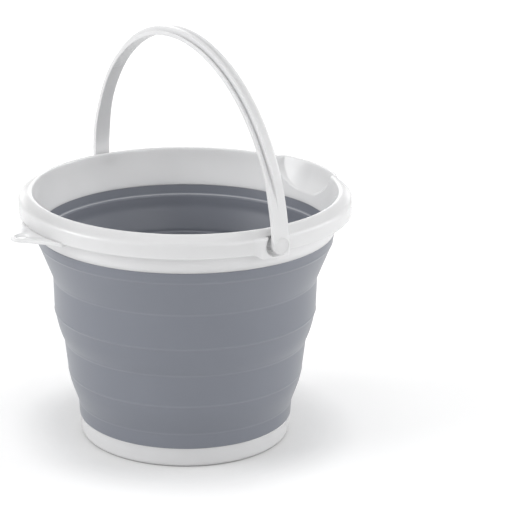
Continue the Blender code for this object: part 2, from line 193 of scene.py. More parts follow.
def closed_loop(
    shape: bmesh.types.BMesh, places: Sequence[Sequence[float]]
) -> tuple[list[bmesh.types.BMVert], list[bmesh.types.BMEdge]]:
    """Add a closed loop of edges.

    Args:
        shape: the mesh that it is added to.
        places: its corners in order.

    Returns:
        The new corners and edges.
    """
    corners = [shape.verts.new(place) for place in places]
    edges = [shape.edges.new(pair) for pair in zip(corners, corners[1:] + corners[:1])]
    return corners, edges


@dataclass(frozen=True)
class Sweep:
    """One stretch of a turn around Z: its angle in degrees and its number of strips."""

    degrees: float
    strips: int


def turn(section: Sequence[Point], sweeps: Iterable[Sweep]) -> bmesh.types.BMesh:
    """Spin a closed section of (radius, height) points around Z, from +X on.

    Args:
        section: the closed section.
        sweeps: the stretches of the turn in order, 360 degrees in all, made strip by strip.

    Returns:
        A closed shape with its faces outward.
    """
    shape = bmesh.new()
    strip_mesh = bpy.data.meshes.new("strip")
    start = 0.0
    for sweep in sweeps:
        width = math.radians(sweep.degrees) / sweep.strips
        for _ in range(sweep.strips):
            strip = bmesh.new()
            across, along = math.cos(start), math.sin(start)
            places = [(radius * across, radius * along, up) for radius, up in section]
            corners, sides = closed_loop(strip, places)
            bmesh.ops.spin(
                strip,
                geom=corners + sides,
                axis=(0, 0, 1),
                cent=(0, 0, 0),
                angle=width,
                steps=STRIP_STEPS,
            )
            strip.to_mesh(strip_mesh)
            strip.free()
            shape.from_mesh(strip_mesh)
            start += width
    bpy.data.meshes.remove(strip_mesh)
    bmesh.ops.remove_doubles(shape, verts=shape.verts, dist=MERGE_GAP)
    bmesh.ops.recalc_face_normals(shape, faces=shape.faces)
    return shape


class Signal:
    """A socket that carries a value, with arithmetic that adds Math nodes."""

    def __init__(self, bench: Bench, socket: bpy.types.NodeSocket) -> None:
        """Wrap a socket.

        Args:
            bench: the bench that its node is on.
            socket: the output socket to wrap.
        """
        self.bench = bench
        self.socket = socket

    def _with(self, operation: str, *values: Signal | float) -> Signal:
        """Add a Math node that works on the given values."""
        sockets = {index: value for index, value in enumerate(values)}
        return self.bench.node("ShaderNodeMath", {"operation": operation}, sockets)

    def __add__(self, other: Signal | float) -> Signal:
        """Add."""
        return self._with("ADD", self, other)

    __radd__ = __add__

    def __sub__(self, other: Signal | float) -> Signal:
        """Subtract."""
        return self._with("SUBTRACT", self, other)

    def __rsub__(self, other: Signal | float) -> Signal:
        """Subtract from a value."""
        return self._with("SUBTRACT", other, self)

    def __mul__(self, other: Signal | float) -> Signal:
        """Multiply."""
        return self._with("MULTIPLY", self, other)

    __rmul__ = __mul__

    def clamped(self) -> Signal:
        """Keep the value between 0 and 1."""
        return self.bench.node("ShaderNodeClamp", {}, {"Value": self})


class Bench:
    """A material or world under construction: one shader and the nodes that feed it."""

    def __init__(
        self, owner: bpy.types.Material | bpy.types.World, shader: str = "Principled BSDF"
    ) -> None:
        """Start with the owner's own shader.

        Args:
            owner: the new material or world.
            shader: the name of its shader.
        """
        owner.use_nodes = True
        self.owner = owner
        self.tree = owner.node_tree
        self.shader = self.tree.nodes[shader]

    def node(self, kind: str, settings: dict, sockets: dict, output: int | str = 0) -> Signal:
        """Add a node.

        Args:
            kind: the node's type.
            settings: the node's own settings, set first.
            sockets: values or signals for its inputs, by name or index.
            output: the output that the signal carries.

        Returns:
            The chosen output.
        """
        node = self.tree.nodes.new(kind)
        for name, value in settings.items():
            setattr(node, name, value)
        for key, value in sockets.items():
            self._feed(node.inputs[key], value)
        return Signal(self, node.outputs[output])

    def _feed(self, socket: bpy.types.NodeSocket, value: Signal | float | Sequence[float]) -> None:
        """Link a signal to a socket, or set its value.

        Args:
            socket: the input socket.
            value: the signal or value that it gets.
        """
        if isinstance(value, Signal):
            self.tree.links.new(value.socket, socket)
        else:
            socket.default_value = value

    def feed(self, **sockets: Signal | float | Sequence[float]) -> None:
        """Set the shader's sockets, named with underscores for spaces."""
        for name, value in sockets.items():
            self._feed(self.shader.inputs[name.replace("_", " ")], value)

    def place(self) -> Signal:
        """Object coordinates."""
        return self.node("ShaderNodeTexCoord", {}, {}, "Object")

    def attribute(self, name: str, output: str) -> Signal:
        """A named attribute of the mesh."""
        return self.node("ShaderNodeAttribute", {"attribute_name": name}, {}, output)

    def seen(self) -> Signal:
        """Tell the rays that show a surface from those that only carry light.

        Returns:
            1 for rays of the camera, of reflections and through clear things, and else 0.
        """
        kinds = ("Is Camera Ray", "Is Glossy Ray", "Is Transmission Ray")
        direct, mirrored, clear = (self.node("ShaderNodeLightPath", {}, {}, kind) for kind in kinds)
        return (direct + mirrored + clear).clamped()

    def noise(self, place: Signal, scale: float, detail: float, roughness: float = 0.5) -> Signal:
        """Soft noise between 0 and 1 with features of one over scale metres."""
        values = {"Vector": place, "Scale": scale, "Detail": detail, "Roughness": roughness}
        return self.node("ShaderNodeTexNoise", {}, values, "Fac")

    def colours(self, share: Signal, start: Signal | Colour, end: Colour) -> Signal:
        """Blend two colours.

        Args:
            share: how much of the second shows.
            start: the first colour, plain or already blended.
            end: the second colour.

        Returns:
            The blended colour.
        """
        first = start if isinstance(start, Signal) else (*start, 1.0)
        values = {"Factor": share, 6: first, 7: (*end, 1.0)}
        return self.node("ShaderNodeMix", {"data_type": "RGBA"}, values, 2)

    def bump(self, height: Signal) -> Signal:
        """Turn a height in metres into a normal."""
        values = {"Height": height, "Distance": 1.0, "Strength": 1.0}
        return self.node("ShaderNodeBump", {}, values)

    def stretched(self, place: Signal, scale: Sequence[float]) -> Signal:
        """Scale the coordinates of a pattern."""
        return self.node("ShaderNodeMapping", {}, {"Vector": place, "Scale": scale})


@dataclass(frozen=True)
class HardPlastic:
    """White moulded plastic: faint flow marks, an eggshell skin and light handling scratches."""

    name: str
    colour: Colour = (0.735, 0.736, 0.742)
    shade: Colour = (0.715, 0.716, 0.723)
    roughness: float = 0.22
    roughness_spread: float = 0.10
    flow_scale: float = 14.0
    skin_scale: float = 1400.0
    skin_depth: float = 0.00001
    scratch_scale: float = 55.0
    scratch_stretch: tuple[float, float, float] = (1.0, 1.0, 24.0)
    scratch_edge: float = 0.64
    scratch_sharpness: float = 14.0
    scratch_depth: float = 0.00002
    translucency: float = 0.6
    light_reach: float = 0.011

    def material(self) -> bpy.types.Material:
        """Build the finish.

        Returns:
            The material.
        """
        bench = Bench(bpy.data.materials.new(self.name))
        place = bench.place()
        flow = bench.noise(place, self.flow_scale, detail=3.0, roughness=0.6)
        skin = bench.noise(place, self.skin_scale, detail=2.0)
        drawn_out = bench.stretched(place, self.scratch_stretch)
        streaks = bench.noise(drawn_out, self.scratch_scale, detail=4.0, roughness=0.7)
        scratches = ((streaks - self.scratch_edge) * self.scratch_sharpness).clamped()
        bench.feed(
            Base_Color=bench.colours(flow, self.shade, self.colour),
            Roughness=(
                self.roughness
                + (flow - NOISE_MEAN) * self.roughness_spread
                + scratches * self.roughness_spread
            ),
            Normal=bench.bump(skin * self.skin_depth - scratches * self.scratch_depth),
            IOR=1.49,
            Subsurface_Weight=self.translucency,
            Subsurface_Radius=(1.0, 1.0, 1.0),
            Subsurface_Scale=self.light_reach,
        )
        return bench.owner


@dataclass(frozen=True)
class SoftPlastic:
    """Blue-grey soft moulding: a satin skin and cloudy tone; each crease is paler, partly from
    flexing and partly as a painted highlight, and a thin painted highlight line runs inside.
    """

    name: str
    colour: Colour = (0.196, 0.209, 0.243)
    shade: Colour = (0.182, 0.194, 0.227)
    worn_highlight: Colour = (0.235, 0.247, 0.280)
    painted_highlight: Colour = (0.480, 0.490, 0.520)
    sheen: float = 0.35
    roughness: float = 0.44
    roughness_spread: float = 0.10
    cloud_scale: float = 22.0
    skin_scale: float = 1100.0
    skin_depth: float = 0.00002
    worn_highlight_share: float = 0.55
    least_worn_highlight: float = 0.4
    least_painted_highlight: float = 0.6
    painted_highlight_spread: float = 0.6

    def material(self) -> bpy.types.Material:
        """Build the finish.

        Returns:
            The material.
        """
        bench = Bench(bpy.data.materials.new(self.name))
        place = bench.attribute(SoftWall.REST_PLACE, "Vector")
        crease = bench.attribute(SoftWall.CREASE, "Fac")
        cloud = bench.noise(place, self.cloud_scale, detail=4.0, roughness=0.6)
        skin = bench.noise(place, self.skin_scale, detail=2.0)
        # Each crease is painted paler: partly flexing, partly a painted highlight along the crease.
        worn_highlight_mask = crease * (self.least_worn_highlight + cloud) * self.worn_highlight_share
        cloudy = bench.colours(cloud, self.shade, self.colour)
        worn_highlight = bench.colours(worn_highlight_mask.clamped(), cloudy, self.worn_highlight)
        # A thin painted highlight line round the inside, just below the collar's inner shoulder.
        painted_highlight_here = self.least_painted_highlight + cloud * self.painted_highlight_spread
        painted_highlight_mask = bench.attribute(SoftWall.PAINTED_HIGHLIGHT, "Fac") * painted_highlight_here
        bench.feed(
            Base_Color=bench.colours(painted_highlight_mask.clamped(), worn_highlight, self.painted_highlight),
            Sheen_Weight=self.sheen,
            Sheen_Roughness=0.4,
            Roughness=(
                self.roughness
                + (cloud - NOISE_MEAN) * self.roughness_spread
                - crease * self.roughness_spread
            ),
            Normal=bench.bump(skin * self.skin_depth),
            IOR=1.47,
        )
        return bench.owner


def add_piece(
    name: str,
    shape: bmesh.types.BMesh,
    material: bpy.types.Material,
    smooth_degrees: float = SMOOTH_DEGREES,
) -> bpy.types.Object:
    """Turn a shape into a piece of the bucket.

    Args:
        name: the piece's name.
        shape: its mesh, which is freed.
        material: its finish.
        smooth_degrees: edges sharper than this stay crisp.

    Returns:
        The new object, at the origin.
    """
    mesh = bpy.data.meshes.new(name)
    shape.to_mesh(mesh)
    shape.free()
    mesh.shade_smooth()
    mesh.set_sharp_from_angle(angle=math.radians(smooth_degrees))
    mesh.materials.append(material)
    piece = bpy.data.objects.new(name, mesh)
    bpy.context.scene.collection.objects.link(piece)
    return piece


def cut_away(piece: bpy.types.Object, cutter_shape: bmesh.types.BMesh) -> None:
    """Cut a shape out of a piece for good.

    Args:
        piece: the piece to cut.
        cutter_shape: the closed shape to take away, which is freed.
    """
    cutter = add_piece(f"{piece.name}_cutter", cutter_shape, piece.data.materials[0])
    change = piece.modifiers.new("cut", "BOOLEAN")
    change.operation = "DIFFERENCE"
    change.solver = "EXACT"
    change.object = cutter
    finished = piece.evaluated_get(bpy.context.evaluated_depsgraph_get())
    mesh = bpy.data.meshes.new_from_object(finished)
    piece.modifiers.remove(change)
    piece.data = mesh
    mesh.set_sharp_from_angle(angle=math.radians(SMOOTH_DEGREES))
    bpy.data.objects.remove(cutter)


def settle(piece: bpy.types.Object, body: Body, slot: str, *nodes: str) -> None:
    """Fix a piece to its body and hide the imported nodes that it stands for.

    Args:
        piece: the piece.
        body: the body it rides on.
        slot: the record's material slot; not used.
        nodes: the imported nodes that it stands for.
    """
    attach(piece, body.value)
    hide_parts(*nodes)
    log.info("%s rides on %s: %d faces", piece.name, body.value, len(piece.data.polygons))


def pivot_height() -> float:
    """Height of the handle's pivot line, from the frame."""
    hinge = next(joint for joint in frame["joints"] if joint["name"] == "handle_hinge")
    return hinge["pos_m"][2]


def seam_height(lower: str, upper: str) -> float:
    """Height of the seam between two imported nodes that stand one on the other."""
    return (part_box(lower)[1].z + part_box(upper)[0].z) / 2


@dataclass(frozen=True)
class Crease:
    """A level of the soft wall where two bands meet."""

    radius: float
    height: float


@dataclass(frozen=True)
class Band:
    """A stretch of the soft wall between two creases.

    bend_shares give how far down its slope changes, and how far in it has come by then.
    """

    low: Crease
    high: Crease
    stiff: bool
    bend_shares: Point | None = None


@dataclass
class SoftWall:
    """The folding wall: stiff rings joined by thin folds, in three pieces that part at creases."""

    REST_PLACE = "rest_place"
    CREASE = "crease"
    PAINTED_HIGHLIGHT = "painted_highlight"
    LEVELS = ("base", "cuff", "fold_3", "ring_2", "fold_2", "ring_1", "fold_1", "wall_collar")
    BENDS = {"fold_3": (0.26, 0.12), "fold_2": (0.65, 0.49)}

    ring_wall: float = 0.0034
    fold_wall: float = 0.0022
    taper_h: float = 0.0030
    bead_h: float = 0.0009
    bead_span: float = 2.4
    bead_rows: int = 6
    bead_reach: float = 0.00030
    inner_bead_reach: float = 0.00025
    # Height of the paler band at each crease, which is partly a painted highlight.
    worn_highlight_h: float = 0.0008
    # Height and drop of the painted highlight line inside the collar.
    painted_highlight_h: float = 0.0005
    painted_highlight_drop: float = 0.0009
    bend_ease: float = 0.0060
    row_h: float = 0.0022
    tongue: float = 0.0006
    edge_tuck: float = 0.0003
    faint_line_rise: float = 0.0048
    faint_line_drop: float = 0.0030
    faint_reach: float = 0.00012
    shoulder_rise: float = 0.0029
    shoulder_wall: float = 0.0049
    shoulder_round_h: float = 0.0016
    shoulder_h: float = 0.0140
    shoulder_rows: int = 12
    groove_rise: float = 0.0016
    groove_h: float = 0.0009
    groove_depth: float = 0.00055
    strips: int = 18

    def __post_init__(self) -> None:
        """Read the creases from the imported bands."""
        self.creases = {
            lower: Crease(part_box(lower)[1].x, seam_height(lower, upper))
            for lower, upper in zip(self.LEVELS, self.LEVELS[1:])
        }
        collar_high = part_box("wall_collar")[1]
        self.seam_slope = collar_high.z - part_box("rim_frame")[0].z
        self.creases["wall_collar"] = Crease(collar_high.x, collar_high.z - self.seam_slope)
        self.crease_heights = [self.creases[name].height for name in self.LEVELS[1:-1]]
        self.faint_lines = (
            self.creases["base"].height + self.faint_line_rise,
            self.creases["wall_collar"].height - self.faint_line_drop,
        )
        self.shoulder_z = self.creases["fold_1"].height + self.shoulder_rise

    def build(self) -> None:
        """Make the three pieces of the wall, and log the two bodies that each one's fold lies
        between.
        """
        creases = self.creases
        bands = {
            high: Band(creases[low], creases[high], "fold" not in high, self.BENDS.get(high))
            for low, high in zip(self.LEVELS, self.LEVELS[1:])
        }
        material = SoftPlastic("soft_wall").material()
        rows = (
            ("soft_wall_lower", ("cuff", "fold_3", "ring_2"), "fold_3", Body.BASE, Body.LOWER_RING),
            ("soft_wall_middle", ("fold_2", "ring_1"), "fold_2", Body.LOWER_RING, Body.UPPER_RING),
            ("soft_wall_upper", ("fold_1", "wall_collar"), "fold_1", Body.UPPER_RING, Body.RIM),
        )
        for name, nodes, fold, below, above in rows:
            section = self.section([bands[node] for node in nodes])
            piece = add_piece(name, turn(section, [Sweep(360, self.strips)]), material)
            self.mark(piece)
            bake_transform(piece)
            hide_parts(*nodes)
            log.info("%s bends from %s to %s", name, below.value, above.value)

    def radius_at(self, band: Band, height: float) -> float:
        """Outer radius of a band without its beads.

        Args:
            band: the band.
            height: the height asked for.

        Returns:
            The radius, eased around the band's bend.
        """
        low, high = band.low, band.high
        if band.bend_shares is None:
            return mix(low.radius, high.radius, (height - low.height) / (high.height - low.height))
        down, inward = band.bend_shares
        bend_z = mix(high.height, low.height, down)
        bend_r = mix(high.radius, low.radius, inward)
        reach = min(self.bend_ease, height - low.height, high.height - height)
        total = 0.0
        places = spread(height - reach, height + reach, EASE_SAMPLES)
        for place in places:
            if place < bend_z:
                total += mix(low.radius, bend_r, (place - low.height) / (bend_z - low.height))
            else:
                total += mix(bend_r, high.radius, (place - bend_z) / (high.height - bend_z))
        return total / len(places)

    def bead(self, height: float, lines: Sequence[float]) -> float:
        """How strongly the bead on the nearest of some lines shows at a height, from 0 to 1."""
        return bell(min(abs(height - line) for line in lines), self.bead_h)

    def wall_at(self, band: Band, height: float) -> float:
        """Thickness of the wall at a height, thinned towards the folds.

        Args:
            band: the band.
            height: the height asked for.

        Returns:
            The thickness, with a rounded shoulder inside, near the collar's foot.
        """
        if height >= self.shoulder_z:
            return self.ring_wall
        if band.high.height >= self.creases["fold_1"].height:
            below = self.shoulder_z - height
            rounded = math.sqrt(1 - (1 - min(below / self.shoulder_round_h, 1)) ** 2)
            swell = 1 - eased((below - self.shoulder_round_h) / self.shoulder_h)
            return mix(self.ring_wall, mix(self.fold_wall, self.shoulder_wall, swell), rounded)
        if band.stiff:
            to_fold = band.high.height - height
            if band.low != self.creases["base"]:
                to_fold = min(to_fold, height - band.low.height)
            return mix(self.fold_wall, self.ring_wall, eased(to_fold / self.taper_h))
        return self.fold_wall

    def groove(self, height: float) -> float:
        """How deep the inner groove just above the upper ring is at a height."""
        distance = height - self.creases["ring_1"].height - self.groove_rise
        return self.groove_depth * bell(distance, self.groove_h)

    def heights(self, band: Band) -> list[float]:
        """List a band's rows: close together at its creases and even between them.

        Args:
            band: the band.

        Returns:
            The rows' heights from the bottom up.
        """
        low, high = band.low.height, band.high.height
        near = spread(0, self.bead_h * self.bead_span, self.bead_rows)
        rows = [low + rise for rise in near] + [high - drop for drop in reversed(near)]
        steps = math.ceil((high - low) / self.row_h)
        even = [z for z in spread(low, high, steps) if low + near[-1] < z < high - near[-1]]
        if low < self.shoulder_z < high:
            drops = spread(-self.painted_highlight_h, self.shoulder_round_h, self.shoulder_rows)
            fine = [self.shoulder_z - drop for drop in drops]
            rows = [z for z in rows if not fine[-1] < z < fine[0]] + fine
            even = [z for z in even if not fine[-1] < z < fine[0]]
        return sorted(rows + even)

    def section(self, bands: Sequence[Band]) -> list[Point]:
        """Draw the closed section of one piece of the wall.

        Args:
            bands: its bands from the bottom up.

        Returns:
            The section, up the outside and down the inside.
        """
        outer: list[Point] = []
        inner: list[Point] = []
        for band in bands:
            rows = self.heights(band)
            for height in rows[1:] if band is not bands[0] else rows:
                radius = self.radius_at(band, height)
                bead = self.bead(height, self.crease_heights)
                faint = self.bead(height, self.faint_lines)
                swell = bead * self.bead_reach + faint * self.faint_reach
                outer.append((radius + swell, height))
                wall = self.wall_at(band, height)
                bead_in = bead * self.inner_bead_reach
                inner.append((radius - wall - bead_in + self.groove(height), height))
        if bands[0].low == self.creases["base"]:
            outer, inner = self.tuck(outer, inner, 0, -1, 0.0)
        if bands[-1].high == self.creases["wall_collar"]:
            outer, inner = self.tuck(outer, inner, len(outer) - 1, 1, self.seam_slope)
        return outer + inner[::-1]

    def tuck(
        self, outer: list[Point], inner: list[Point], end: int, way: int, slope: float
    ) -> tuple[list[Point], list[Point]]:
        """Draw in the wall's edge and give it a tongue that is bonded into the hard plastic.

        Args:
            outer: the outer points.
            inner: the inner points.
            end: the index of the edge's point.
            way: which way the tongue points, 1 up or -1 down.
            slope: how much higher the inner edge lies.

        Returns:
            The changed outer and inner points.
        """
        tuck = self.edge_tuck
        outer_r, edge_z = outer[end]
        inner_r = inner[end][0]
        outer[end] = (outer_r - tuck, edge_z)
        inner[end] = (inner_r + tuck, edge_z + slope)
        tongue_outer = (outer_r - 2 * tuck, edge_z + way * self.tongue)
        tongue_inner = (inner_r + 2 * tuck, edge_z + slope + way * self.tongue)
        if way > 0:
            return outer + [tongue_outer], inner + [tongue_inner]
        return [tongue_outer] + outer, [tongue_inner] + inner

    def mark(self, piece: bpy.types.Object) -> None:
        """Keep rest places, nearness to a crease and a painted highlight line inside as attributes
        for the finish.

        Args:
            piece: the piece of the wall.
        """
        mesh = piece.data
        # The painted highlight line runs round the inside, just below the collar's inner shoulder.
        line_z = self.shoulder_z - self.painted_highlight_drop
        inside_r = self.creases["fold_1"].radius - self.ring_wall / 2
        places = [vert.co for vert in mesh.vertices]
        worn_highlight, painted_highlight = [], []
        for place in places:
            to_crease = min(abs(place.z - height) for height in self.crease_heights)
            # Nearness to a crease, which paints the crease paler: partly flexing, partly a painted
            # highlight.
            worn_highlight.append(bell(to_crease, self.worn_highlight_h))
            inside = from_axis(place) < inside_r
            painted_highlight.append(bell(place.z - line_z, self.painted_highlight_h) if inside else 0.0)
        rest = [value for place in places for value in place]
        for name, kind, key, values in (
            (self.REST_PLACE, "FLOAT_VECTOR", "vector", rest),
            (self.CREASE, "FLOAT", "value", worn_highlight),
            (self.PAINTED_HIGHLIGHT, "FLOAT", "value", painted_highlight),
        ):
            mesh.attributes.new(name, kind, "POINT").data.foreach_set(key, values)


@dataclass
class Rim:
    """The hard rim: inner collar, lip, skirt, pouring spout and pivot pads."""

    collar_wall: float = 0.0042
    waist_wall: float = 0.0026
    collar_flare: float = 0.0016
    skirt_h: float = 0.0203
    skirt_wall: float = 0.0022
    skirt_overhang: float = 0.0110
    lip_inner_w: float = 0.0020
    lip_wall: float = 0.0024
    lip_crest_w: float = 0.0026
    lip_drop: float = 0.0061
    lip_sag: float = 0.0007
    crest_cut: float = 0.0014
    shoulder_cut: float = 0.0026
    edge_cut: float = 0.0007
    bend_cut: float = 0.0030
    row_h: float = 0.0011
    spout_depth: float = 0.0078
    spout_drop: float = 0.0275
    spout_half_degrees: float = 17.8
    spout_turn_degrees: float = 2.5
    spout_bulge: float = 0.35
    spout_steep_share: float = 0.12
    spout_steep_depth: float = 0.78
    spout_ease_share: float = 0.025
    pad_face_half_w: float = 0.0140
    pad_foot_half_w: float = 0.0240
    pad_short_face_half_w: float = 0.0125
    pad_short_foot_half_w: float = 0.0150
    pad_foot_drop: float = 0.0118
    pad_face_rise: float = 0.0065
    pad_foot_rise: float = 0.0100
    pad_reach: float = 0.0024
    recess_half_w: float = 0.0108
    recess_taper: float = 0.30
    recess_drop: float = 0.0092
    recess_corner_r: float = 0.0085
    recess_depth: float = 0.0097
    recess_edge: float = 0.0022
    recess_top: float = 0.0100
    recess_top_ease: float = 0.0045
    hub_r: float = 0.0070
    hub_edge: float = 0.0005
    hub_reach: float = 0.0030

    def __post_init__(self) -> None:
        """Read the rim's main places from the frame."""
        low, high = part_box("rim_frame")
        self.lip_z = high.z
        self.skirt_r = high.x
        self.seam_z = low.z
        self.collar_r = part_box("wall_collar")[1].x
        self.seam_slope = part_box("wall_collar")[1].z - low.z + SEAM_GAP
        self.skirt_low_z = self.lip_z - self.skirt_h
        self.pivot_z = pivot_height()

    def build(self) -> None:
        """Make the rim, and the ear that hangs on it."""
        material = HardPlastic("rim_plastic").material()
        shape = turn(densify(self.section(), self.row_h), self.sweeps())
        self.push_spout(shape)
        self.swell_pads(shape)
        rim = add_piece("rim_moulding", shape, material, smooth_degrees=32)
        settle(rim, Body.RIM, "rim_plastic", "rim_frame")
        HangingEar(self.skirt_r, self.skirt_low_z, self.collar_r).build(material)

    def sweeps(self) -> list[Sweep]:
        """Stretches of the turn: fine at the spout and finest at the two pads."""
        spout, plain, pad, back = Sweep(24, 6), Sweep(56, 4), Sweep(20, 10), Sweep(160, 9)
        return [spout, plain, pad, back, pad, plain, spout]

    def section(self) -> list[Point]:
        """Draw the section of the rim without spout and pads.

        Returns:
            The closed section.
        """
        waist_r = self.collar_r + self.collar_flare
        lip_r = self.skirt_r - self.skirt_overhang - self.lip_inner_w
        skirt_inner_r = self.skirt_r - self.skirt_wall
        crest_end_r = lip_r + self.lip_crest_w
        shoulder_z = self.lip_z - self.lip_drop
        top_middle = mix(crest_end_r, self.skirt_r, 0.5)
        corners = [
            Corner(self.collar_r - self.collar_wall, self.seam_z + self.seam_slope, self.edge_cut),
            Corner(waist_r - self.waist_wall, self.skirt_low_z, self.bend_cut),
            Corner(lip_r, self.lip_z, self.crest_cut),
            Corner(crest_end_r, self.lip_z, self.crest_cut),
            Corner(top_middle, mix(self.lip_z, shoulder_z, 0.5) - self.lip_sag, self.bend_cut),
            Corner(self.skirt_r, shoulder_z, self.shoulder_cut),
            Corner(self.skirt_r, self.skirt_low_z, self.edge_cut),
            Corner(skirt_inner_r, self.skirt_low_z, self.edge_cut),
            Corner(skirt_inner_r, shoulder_z - self.lip_wall / 2, self.crest_cut),
            Corner(lip_r + self.lip_wall, self.lip_z - self.lip_wall, self.crest_cut),
            Corner(waist_r, self.skirt_low_z, self.bend_cut),
            Corner(self.collar_r, self.seam_z, self.edge_cut),
        ]
        return soften(corners, FINE_CORNER_STEPS)

    def push_spout(self, shape: bmesh.types.BMesh) -> None:
        """Push the collar and lip outward in a V on the +X side, up to the skirt.

        Args:
            shape: the turned rim.
        """
        skirt_inner_r = self.skirt_r - self.skirt_wall
        wall_r = self.skirt_r - self.skirt_overhang - self.lip_inner_w + self.lip_wall
        apex_z = self.lip_z - self.spout_drop
        middle = math.radians(self.spout_turn_degrees)
        for corner in shape.verts:
            radius = from_axis(corner.co)
            height_share = (corner.co.z - apex_z) / self.spout_drop
            rounded_v = math.sqrt(1 - (1 - min(max(height_share, 0), 1)) ** 2)
            half = math.radians(self.spout_half_degrees) * rounded_v
            angle = abs(math.atan2(corner.co.y, corner.co.x) - middle)
            if half == 0 or angle >= half or radius >= skirt_inner_r:
                continue
            across_share = self.spout_share(1 - angle / half)
            squeeze = min((skirt_inner_r - radius) / (skirt_inner_r - wall_r), 1)
            risen = mix(height_share, 1 - (1 - height_share) ** 2, self.spout_bulge)
            grown = (radius + self.spout_depth * across_share * squeeze * risen) / radius
            corner.co = Vector((corner.co.x * grown, corner.co.y * grown, corner.co.z))

    def spout_share(self, along: float) -> float:
        """Find how far out the spout lies between its edge and its valley.

        Args:
            along: the share of the way from the edge to the valley.

        Returns:
            The share of the spout's full depth.
        """
        total = 0.0
        ease = self.spout_ease_share
        places = spread(along - ease, along + ease, EASE_SAMPLES)
        for place in places:
            place = 1 - abs(1 - max(place, 0))
            if place < self.spout_steep_share:
                total += self.spout_steep_depth * place / self.spout_steep_share
            else:
                rest = (place - self.spout_steep_share) / (1 - self.spout_steep_share)
                total += mix(self.spout_steep_depth, 1, rest)
        return eased(along / ease) * total / len(places)

    def swell_pads(self, shape: bmesh.types.BMesh) -> None:
        """Raise a pad at each pivot, with a recess around the hub that carries the strap.

        Args:
            shape: the turned rim.
        """
        skirt_inner_r = self.skirt_r - self.skirt_wall
        margin = self.skirt_wall / 4
        shoulder_z = self.lip_z - self.lip_drop
        drop = self.pad_foot_drop - (self.pivot_z - self.skirt_low_z)
        for corner in shape.verts:
            place = corner.co
            radius = from_axis(place)
            if abs(place.x) > self.pad_foot_half_w or radius < skirt_inner_r - margin:
                continue
            foot, face = self.pad_foot_half_w, self.pad_face_half_w
            if place.x > 0:
                foot, face = self.pad_short_foot_half_w, self.pad_short_face_half_w
            cross = eased_between(abs(place.x), foot, face)
            if place.z < shoulder_z:
                stretch = (shoulder_z - place.z) / (shoulder_z - self.skirt_low_z)
                place.z -= drop * cross * stretch
            side = math.copysign(1, place.y)
            up = place.z - self.pivot_z
            if radius < skirt_inner_r + margin:
                floor_y = self.skirt_r + self.pad_reach - self.recess_depth - self.skirt_wall
                sunk = min(abs(place.y), floor_y)
                place.y = side * mix(abs(place.y), sunk, self.recess_share(place.x, up))
            else:
                place.y = side * self.pad_face(place.x, up, abs(place.y), cross)

    def recess_share(self, across: float, up: float) -> float:
        """Find how fully the recess is sunk at a place beside the pivot.

        Args:
            across: distance along X from the pivot.
            up: height above the pivot.

        Returns:
            A share of the recess's depth.
        """
        centre_up = self.recess_corner_r - self.recess_drop
        if up > centre_up:
            outside = abs(across) - self.recess_half_w + self.recess_taper * max(up, 0)
        else:
            beyond = max(abs(across) - (self.recess_half_w - self.recess_corner_r), 0)
            outside = math.hypot(beyond, centre_up - up) - self.recess_corner_r
        inside = eased((self.recess_edge - outside) / (2 * self.recess_edge))
        return inside * eased((self.recess_top - up) / self.recess_top_ease)

    def pad_face(self, across: float, up: float, depth: float, cross: float) -> float:
        """Find how far from the middle the pad's surface lies.

        Args:
            across: distance along X from the pivot.
            up: height above the pivot.
            depth: the plain skirt's distance from the middle, along Y.
            cross: how fully the pad has risen at this distance along X.

        Returns:
            The distance from the middle, along Y.
        """
        face_y = self.skirt_r + self.pad_reach
        swell = cross * eased_between(up, self.pad_foot_rise, self.pad_face_rise)
        depth = mix(depth, max(face_y, depth), swell)
        sunk = min(face_y - self.recess_depth, depth)
        depth = mix(depth, sunk, self.recess_share(across, up))
        hub = eased((self.hub_r - math.hypot(across, up)) / self.hub_edge)
        return mix(depth, self.skirt_r + self.hub_reach, hub)


